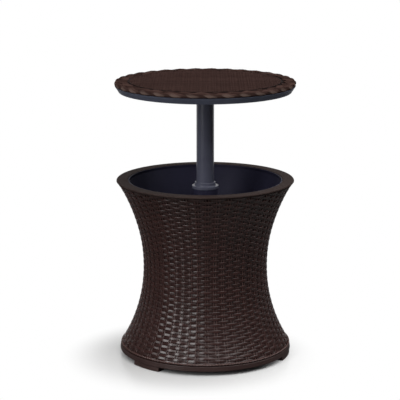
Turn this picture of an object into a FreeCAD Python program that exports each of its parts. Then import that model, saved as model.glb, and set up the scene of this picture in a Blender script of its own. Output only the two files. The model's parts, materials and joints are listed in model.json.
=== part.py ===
import FreeCAD, Part
import math
import os
import Sketcher

# Cooler table with lid: a waisted double-walled ice bucket on three feet, with a round
# table on a post that slides in the bucket's central tower, lifts and locks with a turn,
# and closes the bucket as its lid when it is down.
# Frame: +Z up, origin on the floor below the centre, the viewer on the -Y side, table raised.

os.makedirs("parts", exist_ok=True)
doc = FreeCAD.newDocument("cooler_table")

# Driving dimensions in millimetres and degrees; heights are above the floor.
driving = {
    "table_radius": 247.5,
    "table_height": 765.5,
    "table_edge_depth": 13.5,
    "skirt_depth": 16,
    "skirt_radius": 236.5,
    "skirt_top_radius": 246,
    "scallop_count": 72,
    "scallop_depth": 1.2,
    "scallop_radius": 14,
    "rim_height": 492,
    "rim_radius": 244.5,
    "rim_band": 32,
    "rim_depth": 14,
    "rim_nose": 7,
    "waist_radius": 172,
    "waist_height": 249,
    "flare_above": 439,
    "flare_below": 411,
    "shell_wall": 3.5,
    "stake_count": 25,
    "stake_width": 9,
    "stake_relief": 1.2,
    "shell_foot_radius": 234.5,
    "roll_height": 43,
    "plinth_radius": 238,
    "plinth_top": 26,
    "foot_height": 12,
    "foot_radius": 236.5,
    "foot_angle": 23,
    "foot_screw_circle": 220,
    "liner_wall": 3,
    "liner_floor": 130,
    "liner_waist_radius": 157.5,
    "liner_waist_height": 262,
    "liner_foot_radius": 150,
    "tower_radius": 34.3,
    "tower_draft": 4,
    "tower_top": 470.8,
    "collar_top": 484,
    "collar_radius": 28.5,
    "post_radius": 24.2,
    "post_wall": 2.5,
    "post_foot": 342,
    "guide_bore": 28.3,
    "guide_wall": 2.7,
    "lug_angle": 36,
    "pad_angle": 44,
    "running_gap": 0.4,
    "drain_offset": 120,
    "outlet_height": 72,
    "elbow_bend": 24,
    "screw_radius": 2,
    "head_radius": 4,
    "head_depth": 2.8,
}

sheet = doc.addObject("Spreadsheet::Sheet", "Sizes")
for row, (alias, value) in enumerate(driving.items(), start=1):
    sheet.set(f"A{row}", alias)
    sheet.set(f"B{row}", str(value))
    sheet.setAlias(f"B{row}", alias)
doc.recompute()


class Size:
    """A number together with the formula that ties it to the sheet."""

    def __init__(self, value, text=None):
        self.value = float(value)
        self.text = text or f"({float(value)})"

    def join(self, other, sign, value, flip=False):
        first, second = (other, self) if flip else (self, other)
        return Size(value, f"({first.text} {sign} {second.text})")

    def __add__(self, other):
        other = as_size(other)
        return self.join(other, "+", self.value + other.value)

    def __sub__(self, other):
        other = as_size(other)
        return self.join(other, "-", self.value - other.value)

    def __mul__(self, other):
        other = as_size(other)
        return self.join(other, "*", self.value * other.value)

    def __truediv__(self, other):
        other = as_size(other)
        return self.join(other, "/", self.value / other.value)

    def __radd__(self, other):
        return as_size(other) + self

    def __rsub__(self, other):
        return as_size(other) - self

    def __neg__(self):
        return Size(-self.value, f"(0 - {self.text})")


def as_size(number):
    return number if isinstance(number, Size) else Size(number)


def root(size):
    return Size(math.sqrt(size.value), f"sqrt({size.text})")


def cosine(angle):
    return Size(math.cos(math.radians(angle.value)), f"cos({angle.text} * 1 deg)")


def sine(angle):
    return Size(math.sin(math.radians(angle.value)), f"sin({angle.text} * 1 deg)")


nodes = []
dim = {alias: Size(value, f"Sizes.{alias}") for alias, value in driving.items()}


def bind(item, name, size):
    item.setExpression(name, as_size(size).text)


class Piece:
    """One moulding, tube or fastener: a body with sketches on its own origin planes."""

    def __init__(self, label):
        self.body = doc.addObject("PartDesign::Body", label)
        self.body.Label = label
        self.origin = {feature.Role: feature for feature in self.body.Origin.OriginFeatures}
        nodes.append(self.body)

    def sketch(self, plane, lift=0):
        sketch = self.body.newObject("Sketcher::SketchObject", f"{plane[:2]}_outline")
        sketch.AttachmentSupport = (self.origin[plane], [""])
        sketch.MapMode = "FlatFace"
        bind(sketch, "AttachmentOffset.Base.z", lift)
        return sketch

    def revolve(self, outline, angle=360):
        sketch = self.sketch("XZ_Plane")
        draw(sketch, outline)
        feature = self.body.newObject("PartDesign::Revolution", "Turned")
        feature.Profile = sketch
        feature.ReferenceAxis = (sketch, ["V_Axis"])
        feature.Midplane = True
        bind(feature, "Angle", angle)
        return feature

    def extrude(self, kind, sketch, length, symmetric=False, reverse=False):
        feature = self.body.newObject(kind, kind.split("::")[1])
        feature.Profile = sketch
        feature.SideType = "Symmetric" if symmetric else "One side"
        feature.Reversed = reverse
        bind(feature, "Length", length)
        return feature

    def pad(self, sketch, length, symmetric=False):
        return self.extrude("PartDesign::Pad", sketch, length, symmetric)

    def bore(self, sketch, length, symmetric=False):
        """Cuts upwards from the sketch, or both ways."""
        return self.extrude("PartDesign::Pocket", sketch, length, symmetric, True)

    def repeat(self, feature, count):
        pattern = self.body.newObject("PartDesign::PolarPattern", "Repeated")
        pattern.Originals = [feature]
        pattern.Axis = (self.origin["Z_Axis"], [""])
        pattern.Angle = 360
        bind(pattern, "Occurrences", count)
        self.body.Tip = pattern
        return pattern

    def rib(self, side, thickness, count, first_angle=0):
        """Radial ribs: a side view in the XZ plane, thickened both ways and repeated."""
        sketch = self.sketch("XZ_Plane")
        sketch.AttachmentOffset.Rotation = FreeCAD.Rotation(FreeCAD.Vector(0, 1, 0), first_angle)
        draw(sketch, side)
        self.repeat(self.pad(sketch, thickness, symmetric=True), count)


def pin_point(sketch, geometry, end, x, y):
    """Ties one sketch point to the sheet."""
    for kind, axis, size in (("DistanceX", -2, as_size(x)), ("DistanceY", -1, as_size(y))):
        if size.value == 0:
            sketch.addConstraint(Sketcher.Constraint("PointOnObject", geometry, end, axis))
            continue
        index = sketch.addConstraint(Sketcher.Constraint(kind, geometry, end, size.value))
        bind(sketch, f"Constraints[{index}]", size)


def draw(sketch, outline):
    """A closed outline. An entry is (x, y), or (x, y, radius) where an arc runs on to the
    next point, with its centre on the left of the way there, or on the right if negative."""
    count = len(outline)
    firsts, lasts = [], []
    for index, entry in enumerate(outline):
        after = outline[(index + 1) % count]
        start = FreeCAD.Vector(as_size(entry[0]).value, as_size(entry[1]).value, 0)
        finish = FreeCAD.Vector(as_size(after[0]).value, as_size(after[1]).value, 0)
        if len(entry) == 2:
            item = sketch.addGeometry(Part.LineSegment(start, finish))
            firsts.append((item, 1))
            lasts.append((item, 2))
            continue
        radius = as_size(entry[2])
        chord = finish - start
        left = FreeCAD.Vector(-chord.y, chord.x, 0).normalize()
        reach = math.sqrt(max(radius.value ** 2 - chord.Length ** 2 / 4, 0))
        side = 1 if radius.value > 0 else -1
        centre = start + chord * 0.5 + left * (reach * side)
        low, high = (start, finish) if side > 0 else (finish, start)
        circle = Part.Circle(centre, FreeCAD.Vector(0, 0, 1), abs(radius.value))
        turn = [math.atan2(point.y - centre.y, point.x - centre.x) for point in (low, high)]
        item = sketch.addGeometry(Part.ArcOfCircle(circle, turn[0], turn[1]))
        firsts.append((item, 1 if side > 0 else 2))
        lasts.append((item, 2 if side > 0 else 1))
        length = radius if side > 0 else -radius
        number = sketch.addConstraint(Sketcher.Constraint("Radius", item, length.value))
        bind(sketch, f"Constraints[{number}]", length)
    for index, entry in enumerate(outline):
        item, end = firsts[index]
        before, last = lasts[index - 1]
        sketch.addConstraint(Sketcher.Constraint("Coincident", before, last, item, end))
        pin_point(sketch, item, end, entry[0], entry[1])


def ring(sketch, x, y, radius):
    centre = FreeCAD.Vector(as_size(x).value, as_size(y).value, 0)
    size = as_size(radius)
    item = sketch.addGeometry(Part.Circle(centre, FreeCAD.Vector(0, 0, 1), size.value))
    pin_point(sketch, item, 3, x, y)
    index = sketch.addConstraint(Sketcher.Constraint("Radius", item, size.value))
    bind(sketch, f"Constraints[{index}]", size)


def polar(radius, angle):
    angle = as_size(angle)
    return radius * cosine(angle), radius * sine(angle)


def sector(sketch, inner, outer, middle, angle):
    """A piece of a ring, centred on one direction."""
    start = as_size(middle) - as_size(angle) / 2
    finish = as_size(middle) + as_size(angle) / 2
    inner, outer = as_size(inner), as_size(outer)
    draw(sketch, [
        (*polar(outer, start), outer),
        polar(outer, finish),
        (*polar(inner, finish), -inner),
        polar(inner, start),
    ])


# Heights and radii that several pieces share
table_height = dim["table_height"]
edge_bottom = table_height - dim["table_edge_depth"]
skirt_bottom = edge_bottom - dim["skirt_depth"]
deck_bottom = edge_bottom - 3
shell_top = dim["rim_height"] - dim["rim_depth"]
shell_edge = dim["rim_height"] - dim["rim_nose"]
wall = dim["shell_wall"]
shelf_top = shell_top + wall
opening_radius = dim["rim_radius"] - dim["rim_band"]
deck_top = dim["plinth_top"] + 2
seat_radius = dim["plinth_radius"] - 9.4
guide_radius = dim["guide_bore"] + dim["guide_wall"]
collar_foot = dim["tower_top"] + 1.2
gap = dim["running_gap"]

# Places of the ribs, the fasteners and the pieces that fit each other
stake_turn = -2.35
base_screw_circle = seat_radius - 14
base_screw_count = 6
base_screw_angle = 15
foot_screw_spread = 6
foot_first = -134
guide_screw_circle = guide_radius + 9
hub_depth = deck_top - dim["foot_height"] - 4
table_screw_circle = as_size(150)
table_screw_angle = 11.25
socket_screw_circle = dim["post_radius"] + 22
socket_screw_angle = 33.75
skirt_seat = dim["skirt_radius"] - 6
lug_ring = dim["post_radius"] + 1.4
lug_top = collar_foot - gap
lug_foot = lug_top - 11.6
lug_middle = as_size(28)
pad_middle = lug_middle + 62
key_radius = dim["guide_bore"] - 1.9
key_width = as_size(5)
key_top = lug_foot - 15
bead_foot = dim["post_foot"] + 18
post_top = edge_bottom + 5
sleeve_pin_height = lug_foot - 9
socket_pin_height = skirt_bottom + 8
stub_radius = as_size(8.2)
stub_foot = dim["liner_floor"] - 22
washer_foot = dim["liner_floor"] - dim["liner_wall"] - 1.5
nut_height = as_size(6)
elbow_top = dim["liner_floor"] - 13
spout_end = as_size(229)
cap_foot = as_size(221.8)
cap_depth = as_size(12.5)


def flared(height, offset=0):
    """Radius of the waisted wall at a height, measured offset millimetres inside its face."""
    height = as_size(height)
    bend = dim["flare_above"] if height.value > driving["waist_height"] else dim["flare_below"]
    rise = height - dim["waist_height"]
    reach = bend + offset
    return dim["waist_radius"] + bend - root(reach * reach - rise * rise)


# Screws: turned pan-head screws on one axis circle, one round of them for each start angle
def screws(label, circle, head_face, tip, count, *start_angles):
    piece = Piece(label)
    piece.body.AllowCompound = True
    way = 1 if as_size(tip).value > as_size(head_face).value else -1
    radius = as_size(circle)
    head = as_size(head_face) - dim["head_depth"] * way
    for angle in start_angles:
        sketch = piece.sketch("XZ_Plane")
        sketch.AttachmentOffset.Rotation = FreeCAD.Rotation(FreeCAD.Vector(0, 1, 0), angle)
        draw(sketch, [
            (radius, head),
            (radius + dim["head_radius"] - 1, head),
            (radius + dim["head_radius"], head + 1 * way),
            (radius + dim["head_radius"], head_face),
            (radius + dim["screw_radius"], head_face),
            (radius + dim["screw_radius"], as_size(tip) - 1.5 * way),
            (radius, tip),
        ])
        feature = piece.body.newObject("PartDesign::Revolution", "Turned")
        feature.Profile = sketch
        feature.ReferenceAxis = (sketch, ["Edge7"])
        piece.repeat(feature, count)
    return piece


def screw_holes(piece, lift, circle, radius, length, count, first_angle=0):
    sketch = piece.sketch("XY_Plane", lift)
    ring(sketch, *polar(as_size(circle), first_angle), radius)
    piece.repeat(piece.bore(sketch, length), count)


def bosses(piece, lift, circle, radius, length, count, first_angle=0):
    sketch = piece.sketch("XY_Plane", lift)
    ring(sketch, *polar(as_size(circle), first_angle), radius)
    piece.repeat(piece.pad(sketch, length), count)


# Outer shell: one waisted moulding, open at both ends, with a shelf just below its top edge
# for the liner's flange and a turned-in foot that the base plate is screwed to. Upright
# ribs stand for the stakes of its wicker pattern.
def outer_shell():
    shell = Piece("outer_shell")
    foot = deck_top
    roll = dim["roll_height"]
    waist = dim["waist_height"]
    shelf_radius = opening_radius + 9.4
    below, above = dim["flare_below"], dim["flare_above"]
    relief = dim["stake_relief"]
    inside = relief + wall
    shell.revolve([
        (dim["shell_foot_radius"] - relief, foot),
        (flared(roll, relief), roll, -below - relief),
        (dim["waist_radius"] - relief, waist, -above - relief),
        (flared(shell_edge, relief), shell_edge),
        (flared(shell_edge, inside), shell_edge),
        (flared(shell_top, inside), shell_top),
        (shelf_radius, shell_top),
        (shelf_radius, shell_top - wall),
        (flared(shell_top - wall, inside), shell_top - wall, above + inside),
        (dim["waist_radius"] - inside, waist, below + inside),
        (flared(roll, inside), roll),
        (dim["shell_foot_radius"] - 4.4 - relief, foot + wall),
        (seat_radius - 22, foot + wall),
        (seat_radius - 22, foot),
    ])
    sunk = relief + 1
    shell.rib([
        (dim["shell_foot_radius"], foot),
        (flared(roll), roll, -below),
        (dim["waist_radius"], waist, -above),
        (flared(shell_edge), shell_edge),
        (flared(shell_edge, sunk), shell_edge, above + sunk),
        (dim["waist_radius"] - sunk, waist, below + sunk),
        (flared(roll, sunk), roll),
        (dim["shell_foot_radius"] - sunk, foot),
    ], dim["stake_width"], dim["stake_count"], stake_turn)
    bosses(shell, foot, base_screw_circle, 4.5, 14, base_screw_count, base_screw_angle)
    screw_holes(shell, foot, base_screw_circle, dim["screw_radius"], 12, base_screw_count,
                base_screw_angle)
    outlet = shell.sketch("XZ_Plane")
    ring(outlet, 0, dim["outlet_height"], 11)
    shell.extrude("PartDesign::Pocket", outlet, dim["rim_radius"], reverse=False)
    return shell


# Rim ring: the smooth band round the mouth, an upside-down channel with inner ribs, which
# stands on the shell's top edge and on the liner's flange
def rim_ring():
    rim = Piece("rim_ring")
    top = dim["rim_height"]
    edge = dim["rim_radius"]
    roof = top - wall
    rim.revolve([
        (flared(shell_edge), shell_edge),
        (edge, top - 2.8, 2.8),
        (edge - 2.8, top),
        (opening_radius + 2, top, 2),
        (opening_radius, top - 2),
        (opening_radius, shelf_top),
        (opening_radius + wall, shelf_top),
        (opening_radius + wall, roof),
        (edge - 4.7, roof),
        (flared(shell_edge) - 4, shell_edge),
    ])
    rim.rib([
        (opening_radius + 2, roof + 1),
        (opening_radius + 2, shelf_top + 1),
        (edge - 13, shelf_top + 1),
        (edge - 6, roof + 1),
    ], 2.5, 12)
    return rim


# Liner: the bucket that holds the ice, hung by its flange, with a lip that stands up
# inside the band and a drafted tower round the post
def liner():
    liner = Piece("liner")
    skin = dim["liner_wall"]
    floor = dim["liner_floor"]
    lip_radius = opening_radius - 3.2
    lip_top = dim["rim_height"] - 1
    bend_foot = dim["liner_waist_height"]
    bend_top = shelf_top + 2.5
    slim = dim["liner_waist_radius"]
    rise = bend_top - bend_foot
    widening = lip_radius - slim
    bend = (rise * rise + widening * widening) / (widening * 2)
    drop = shell_top - bend_foot
    outer_top = slim + bend - root((bend - skin) * (bend - skin) - drop * drop)
    foot = dim["liner_foot_radius"]
    tower = dim["tower_radius"]
    tower_foot = tower + dim["tower_draft"]
    liner.revolve([
        (opening_radius - 0.4, shelf_top),
        (opening_radius - 0.4, lip_top - 0.8, 0.8),
        (opening_radius - 1.2, lip_top),
        (lip_radius + 0.8, lip_top, 0.8),
        (lip_radius, lip_top - 0.8),
        (lip_radius, bend_top, bend),
        (slim, bend_foot),
        (foot, floor + 10, -10),
        (foot - 10, floor),
        (tower_foot + 5, floor, -5),
        (tower_foot, floor + 5),
        (tower, dim["tower_top"]),
        (tower - skin, dim["tower_top"]),
        (tower_foot - skin, floor - skin),
        (foot - 10, floor - skin, 10 + skin),
        (foot + skin, floor + 10),
        (slim + skin, bend_foot, skin - bend),
        (outer_top, shell_top),
        (opening_radius + 18, shell_top),
        (opening_radius + 18, shelf_top),
    ])
    outlet = liner.sketch("XY_Plane", floor - skin)
    ring(outlet, 0, dim["drain_offset"], stub_radius)
    liner.bore(outlet, skin)
    return liner


# Base plate: plinth wall, deck and hub, stiffened by radial ribs, with screw bosses
# for the feet
def base_plate():
    plate = Piece("base_plate")
    edge = dim["plinth_radius"]
    top = dim["plinth_top"]
    ground = dim["foot_height"]
    deck = deck_top - wall
    hub = guide_radius + 16
    plate.revolve([
        (edge - 2.5, ground, 2.5),
        (edge, ground + 2.5),
        (edge - 1.2, top - 1.5, 1.5),
        (edge - 2.7, top),
        (seat_radius, top),
        (seat_radius, deck_top),
        (guide_radius, deck_top),
        (guide_radius, ground + 4),
        (hub, ground + 4),
        (hub, deck),
        (edge - 5.6, deck),
        (edge - 5.2, ground),
    ])
    plate.rib([
        (hub - 1, deck + 1),
        (hub - 1, ground + 4),
        (hub + 30, ground + 6),
        (edge - 4.6, ground + 3),
        (edge - 4.6, deck + 1),
    ], 3, 12)
    for side in (-foot_screw_spread, foot_screw_spread):
        bosses(plate, ground, dim["foot_screw_circle"], 6, deck - ground, 3, foot_first + side)
        screw_holes(plate, ground, dim["foot_screw_circle"], dim["screw_radius"], 12, 3,
                    foot_first + side)
    screw_holes(plate, deck, base_screw_circle, dim["screw_radius"], wall, base_screw_count,
                base_screw_angle)
    screw_holes(plate, ground + 4, guide_screw_circle, dim["screw_radius"], hub_depth, 4, 45)
    return plate


# Foot: a tapered block, part of a ring, counterbored from below for two screws
def foot(label, angle):
    block = Piece(label)
    inner = dim["foot_screw_circle"] - 14
    outer = dim["foot_radius"]
    top = dim["foot_height"]
    block.revolve([
        (inner + 1, 0),
        (outer - 1, 0),
        (outer, 1),
        (dim["plinth_radius"] - 2.5, top),
        (inner + 2, top),
        (inner, 1),
    ], dim["foot_angle"])
    for side in (-foot_screw_spread, foot_screw_spread):
        for radius, depth in ((dim["head_radius"] + 0.5, 6), (dim["screw_radius"], top)):
            hole = block.sketch("XY_Plane")
            ring(hole, *polar(dim["foot_screw_circle"], side), radius)
            block.bore(hole, depth)
    block.body.Placement.Rotation = FreeCAD.Rotation(FreeCAD.Vector(0, 0, 1), angle)
    return block


# Guide tube: stands on the base plate inside the tower. Two lock pads near its top carry
# the post's lugs when it is turned, and two long keys stop the shoe from turning.
def guide_tube():
    tube = Piece("guide_tube")
    bore = dim["guide_bore"]
    tube.revolve([
        (bore, dim["foot_height"] + 6),
        (guide_radius, dim["foot_height"] + 6),
        (guide_radius, deck_top),
        (guide_radius + 17, deck_top),
        (guide_radius + 17, deck_top + 3.5),
        (guide_radius + 3, deck_top + 3.5, -3),
        (guide_radius, deck_top + 6.5),
        (guide_radius, collar_foot),
        (bore, collar_foot),
    ])
    pads = tube.sketch("XY_Plane", lug_foot - gap - 9.6)
    sector(pads, lug_ring + 0.3, bore + 1, pad_middle, dim["pad_angle"])
    tube.repeat(tube.pad(pads, 9.6), 2)
    stops = tube.sketch("XY_Plane", lug_foot - gap - 9.6)
    sector(stops, lug_ring + 0.3, bore + 1, pad_middle + dim["pad_angle"] / 2 + 2, 4)
    tube.repeat(tube.pad(stops, 19), 2)
    keys = tube.sketch("XZ_Plane")
    draw(keys, [
        (key_radius, 60),
        (bore + 1, 58),
        (bore + 1, key_top),
        (key_radius, key_top - 2),
    ])
    key = tube.pad(keys, key_width, symmetric=True)
    tube.repeat(key, 2)
    screw_holes(tube, deck_top, guide_screw_circle, dim["screw_radius"], 3.5, 4, 45)
    return tube


# Lock collar: caps the tower and the guide tube, and its bore steadies the post
def lock_collar():
    collar = Piece("lock_collar")
    bore = dim["post_radius"] + gap
    top = dim["collar_top"]
    neck = dim["collar_radius"]
    brim = dim["tower_radius"] + 2.3
    collar.revolve([
        (bore, collar_foot),
        (bore, top - 1.2),
        (bore + 1.2, top),
        (neck - 1.5, top, -1.5),
        (neck, top - 1.5),
        (neck, collar_foot + 5.5, 3),
        (neck + 3, collar_foot + 2.5),
        (brim - 1, collar_foot + 2.5, -1),
        (brim, collar_foot + 1.5),
        (brim, collar_foot - 5),
        (brim - 1.9, collar_foot - 5),
        (brim - 1.9, collar_foot),
    ])
    return collar


def collar_seal():
    seal = Piece("collar_seal")
    outer = dim["tower_radius"]
    inner = outer - dim["liner_wall"]
    seal.revolve([
        (inner, dim["tower_top"]),
        (outer, dim["tower_top"]),
        (outer, collar_foot),
        (inner, collar_foot),
    ])
    return seal


# Drain: a flanged stub in the liner's floor, held by a nut under a rubber washer; an elbow
# leads from it out through the back of the shell, where a screw cap closes it
def drain_stub():
    stub = Piece("drain_stub")
    flange = stub.sketch("XY_Plane", dim["liner_floor"])
    ring(flange, 0, dim["drain_offset"], stub_radius + 7)
    stub.pad(flange, 2.5)
    barrel = stub.sketch("XY_Plane", stub_foot)
    ring(barrel, 0, dim["drain_offset"], stub_radius)
    stub.pad(barrel, dim["liner_floor"] - stub_foot)
    bore = stub.sketch("XY_Plane", stub_foot)
    ring(bore, 0, dim["drain_offset"], stub_radius - 2.2)
    stub.bore(bore, dim["liner_floor"] - stub_foot + 2.5)
    return stub


def drain_washer():
    washer = Piece("drain_washer")
    sketch = washer.sketch("XY_Plane", washer_foot)
    ring(sketch, 0, dim["drain_offset"], stub_radius + 6)
    ring(sketch, 0, dim["drain_offset"], stub_radius)
    washer.pad(sketch, 1.5)
    return washer


def drain_nut():
    blank = doc.addObject("Part::Prism", "nut_blank")
    blank.Polygon = 6
    blank.Circumradius = 15
    bind(blank, "Height", nut_height)
    hole = doc.addObject("Part::Cylinder", "nut_hole")
    bind(hole, "Radius", stub_radius)
    bind(hole, "Height", nut_height)
    for item in (blank, hole):
        bind(item, "Placement.Base.y", dim["drain_offset"])
        bind(item, "Placement.Base.z", washer_foot - nut_height)
    nut = doc.addObject("Part::Cut", "drain_nut")
    nut.Base = blank
    nut.Tool = hole
    nut.Label = "drain_nut"
    nodes.append(nut)
    return nut


def drain_elbow():
    elbow = Piece("drain_elbow")
    bend = dim["elbow_bend"]
    offset = dim["drain_offset"]
    height = dim["outlet_height"]
    for kind, radius in (("Additive", stub_radius + 2.3), ("Subtractive", stub_radius)):
        section = elbow.sketch("XY_Plane", elbow_top)
        ring(section, 0, offset, radius)
        path = elbow.sketch("YZ_Plane")
        upright = path.addGeometry(Part.LineSegment(
            FreeCAD.Vector(offset.value, elbow_top.value, 0),
            FreeCAD.Vector(offset.value, (height + bend).value, 0)))
        centre = FreeCAD.Vector((offset + bend).value, (height + bend).value, 0)
        circle = Part.Circle(centre, FreeCAD.Vector(0, 0, 1), bend.value)
        turn = path.addGeometry(Part.ArcOfCircle(circle, math.pi, 1.5 * math.pi))
        level = path.addGeometry(Part.LineSegment(
            FreeCAD.Vector((offset + bend).value, height.value, 0),
            FreeCAD.Vector(spout_end.value, height.value, 0)))
        pin_point(path, upright, 1, offset, elbow_top)
        pin_point(path, turn, 1, offset, height + bend)
        pin_point(path, turn, 2, offset + bend, height)
        pin_point(path, level, 2, spout_end, height)
        path.addConstraint(Sketcher.Constraint("Coincident", upright, 2, turn, 1))
        path.addConstraint(Sketcher.Constraint("Coincident", turn, 2, level, 1))
        bow = path.addConstraint(Sketcher.Constraint("Radius", turn, bend.value))
        bind(path, f"Constraints[{bow}]", bend)
        pipe = elbow.body.newObject(f"PartDesign::{kind}Pipe", f"{kind}Pipe")
        pipe.Profile = section
        pipe.Spine = (path, ["Edge1", "Edge2", "Edge3"])
    return elbow


def turned_back(label, outline, grips=0):
    """A round piece on the outlet's axis: its outline is drawn as (radius, distance back)."""
    piece = Piece(label)
    piece.revolve(outline)
    if grips:
        slot = piece.sketch("XY_Plane")
        ring(slot, outline[1][0] + 1.6, 0, 2.4)
        piece.repeat(piece.bore(slot, cap_depth), grips)
    facing_back = FreeCAD.Rotation(FreeCAD.Vector(1, 0, 0), -90)
    piece.body.Placement.Rotation = facing_back
    bind(piece.body, "Placement.Base.y", cap_foot)
    bind(piece.body, "Placement.Base.z", dim["outlet_height"])
    return piece


def drain_cap():
    bore = stub_radius + 2.6
    return turned_back("drain_cap", [
        (bore, 0),
        (bore + 4.4, 0),
        (bore + 4.4, cap_depth - 1.5, 1.5),
        (bore + 2.9, cap_depth),
        (0, cap_depth),
        (0, cap_depth - 3),
        (bore, cap_depth - 3),
    ], grips=16)


def cap_seal():
    return turned_back("cap_seal", [
        (stub_radius - 2, spout_end - cap_foot + 0.1),
        (stub_radius + 2.2, spout_end - cap_foot + 0.1),
        (stub_radius + 2.2, cap_depth - 3.3),
        (stub_radius - 2, cap_depth - 3.3),
    ])


# Guide shoe: slides in the guide tube and turns on the post's lower end, held there by a
# bead on four spring fingers
def guide_shoe():
    shoe = Piece("guide_shoe")
    foot = dim["post_foot"]
    shoulder = foot - 0.3
    bore = dim["post_radius"] - dim["post_wall"]
    spigot = bore - 0.08
    body = dim["guide_bore"] - gap
    shoe.revolve([
        (spigot - 4, shoulder - 12),
        (body - 1.5, shoulder - 12),
        (body, shoulder - 10.5),
        (body, shoulder),
        (spigot, shoulder),
        (spigot, bead_foot),
        (bore + 0.6, bead_foot),
        (bore + 0.6, bead_foot + 1.5),
        (spigot - 1, bead_foot + 5),
        (spigot - 2.6, bead_foot + 5),
        (spigot - 2.6, shoulder),
        (spigot - 4, shoulder - 4),
    ])
    notch = shoe.sketch("XY_Plane", shoulder - 12)
    draw(notch, [
        (key_radius - 0.4, -(key_width / 2 + 0.4)),
        (body + 2, -(key_width / 2 + 0.4)),
        (body + 2, key_width / 2 + 0.4),
        (key_radius - 0.4, key_width / 2 + 0.4),
    ])
    shoe.repeat(shoe.bore(notch, 12.5), 2)
    slot = shoe.sketch("XY_Plane", shoulder + 4)
    draw(slot, [
        (spigot - 6, -1.5),
        (bore + 2, -1.5),
        (bore + 2, 1.5),
        (spigot - 6, 1.5),
    ])
    shoe.repeat(shoe.bore(slot, 30), 4)
    return shoe


# Post: one drawn tube, grooved inside for the shoe's bead and cross-drilled for the pins
def post():
    tube = Piece("post")
    outer = dim["post_radius"]
    bore = outer - dim["post_wall"]
    foot = dim["post_foot"]
    tube.revolve([
        (bore, foot),
        (outer, foot),
        (outer, post_top),
        (bore, post_top),
        (bore, bead_foot + 6),
        (bore + 1, bead_foot + 5),
        (bore + 1, bead_foot - 0.5),
        (bore, bead_foot - 0.5),
    ])
    for height, radius in ((sleeve_pin_height, 2), (socket_pin_height, 3)):
        hole = tube.sketch("XZ_Plane")
        ring(hole, 0, height, radius)
        tube.bore(hole, outer * 2 + 4, symmetric=True)
    return tube


# Bayonet sleeve: pinned to the post, with two lugs that turn over the lock pads
def bayonet_sleeve():
    sleeve = Piece("bayonet_sleeve")
    bore = dim["post_radius"]
    sleeve.revolve([
        (bore, lug_foot - 16),
        (lug_ring - 1, lug_foot - 16),
        (lug_ring, lug_foot - 15),
        (lug_ring, lug_top),
        (bore, lug_top),
    ])
    lugs = sleeve.sketch("XY_Plane", lug_foot)
    sector(lugs, lug_ring - 0.5, dim["guide_bore"] - 0.3, lug_middle, dim["lug_angle"])
    sleeve.repeat(sleeve.pad(lugs, lug_top - lug_foot), 2)
    hole = sleeve.sketch("XZ_Plane")
    ring(hole, 0, sleeve_pin_height, 2)
    sleeve.bore(hole, lug_ring * 2 + 4, symmetric=True)
    return sleeve


def cross_pins(label, inner, outer, height, radius, count):
    """Short pins across the post, or one long pin where the inner end is past the axis."""
    pins = Piece(label)
    pins.body.AllowCompound = True
    sketch = pins.sketch("XZ_Plane", inner)
    ring(sketch, 0, height, radius)
    pin = pins.pad(sketch, as_size(outer) - inner)
    if count > 1:
        pins.repeat(pin, count)
    return pins


# Post socket: a flanged cup above the lower moulding's deck that takes the post's top
def post_socket():
    socket = Piece("post_socket")
    bore = dim["post_radius"]
    outer = bore + 4.3
    socket.revolve([
        (0, post_top),
        (bore, post_top),
        (bore, skirt_bottom + 2),
        (outer - 1, skirt_bottom + 2),
        (outer, skirt_bottom + 3),
        (outer, edge_bottom),
        (bore + 36, edge_bottom),
        (bore + 36, edge_bottom + 3),
        (outer + 2, edge_bottom + 3),
        (outer, post_top + 3),
        (0, post_top + 3),
    ])
    hole = socket.sketch("XZ_Plane")
    ring(hole, 0, socket_pin_height, 3)
    socket.bore(hole, outer * 2 + 4, symmetric=True)
    screw_holes(socket, edge_bottom, socket_screw_circle, dim["screw_radius"], 3, 4,
                socket_screw_angle)
    return socket


# Lower table moulding: deck, skirt and the lip that centres the lid in the bucket's mouth,
# ribbed underneath
def table_base():
    base = Piece("table_base")
    skirt = dim["skirt_radius"]
    skirt_top = dim["skirt_top_radius"]
    hub = dim["post_radius"] + 4.3
    lip = opening_radius - 4
    base.revolve([
        (hub, deck_bottom),
        (lip - 2.8, deck_bottom),
        (lip - 2.8, skirt_bottom - 3.8),
        (lip - 0.8, skirt_bottom - 3.8),
        (lip, skirt_bottom - 2),
        (lip, deck_bottom),
        (skirt_top - 5, deck_bottom),
        (skirt - 3.2, skirt_bottom + 1.6, 1.6),
        (skirt - 1.6, skirt_bottom, 1.6),
        (skirt, skirt_bottom + 1.6),
        (skirt_top, edge_bottom),
        (hub, edge_bottom),
    ])
    base.revolve([
        (112, deck_bottom + 1),
        (112, deck_bottom - 7),
        (114.5, deck_bottom - 7),
        (114.5, deck_bottom + 1),
    ])
    base.rib([
        (hub + 14, deck_bottom + 1),
        (hub + 16, deck_bottom - 10),
        (hub + 40, deck_bottom - 10),
        (lip - 2, deck_bottom - 5),
        (lip - 2, deck_bottom + 1),
    ], 2.5, 16)
    base.rib([
        (lip - 1, deck_bottom + 1),
        (lip - 1, deck_bottom - 7),
        (skirt, deck_bottom - 7),
        (skirt_top - 3, deck_bottom + 1),
    ], 2.5, 32)
    screw_holes(base, deck_bottom, table_screw_circle, dim["screw_radius"], 3, 8, table_screw_angle)
    screw_holes(base, deck_bottom, socket_screw_circle, dim["screw_radius"], 3, 4,
                socket_screw_angle)
    return base


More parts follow.
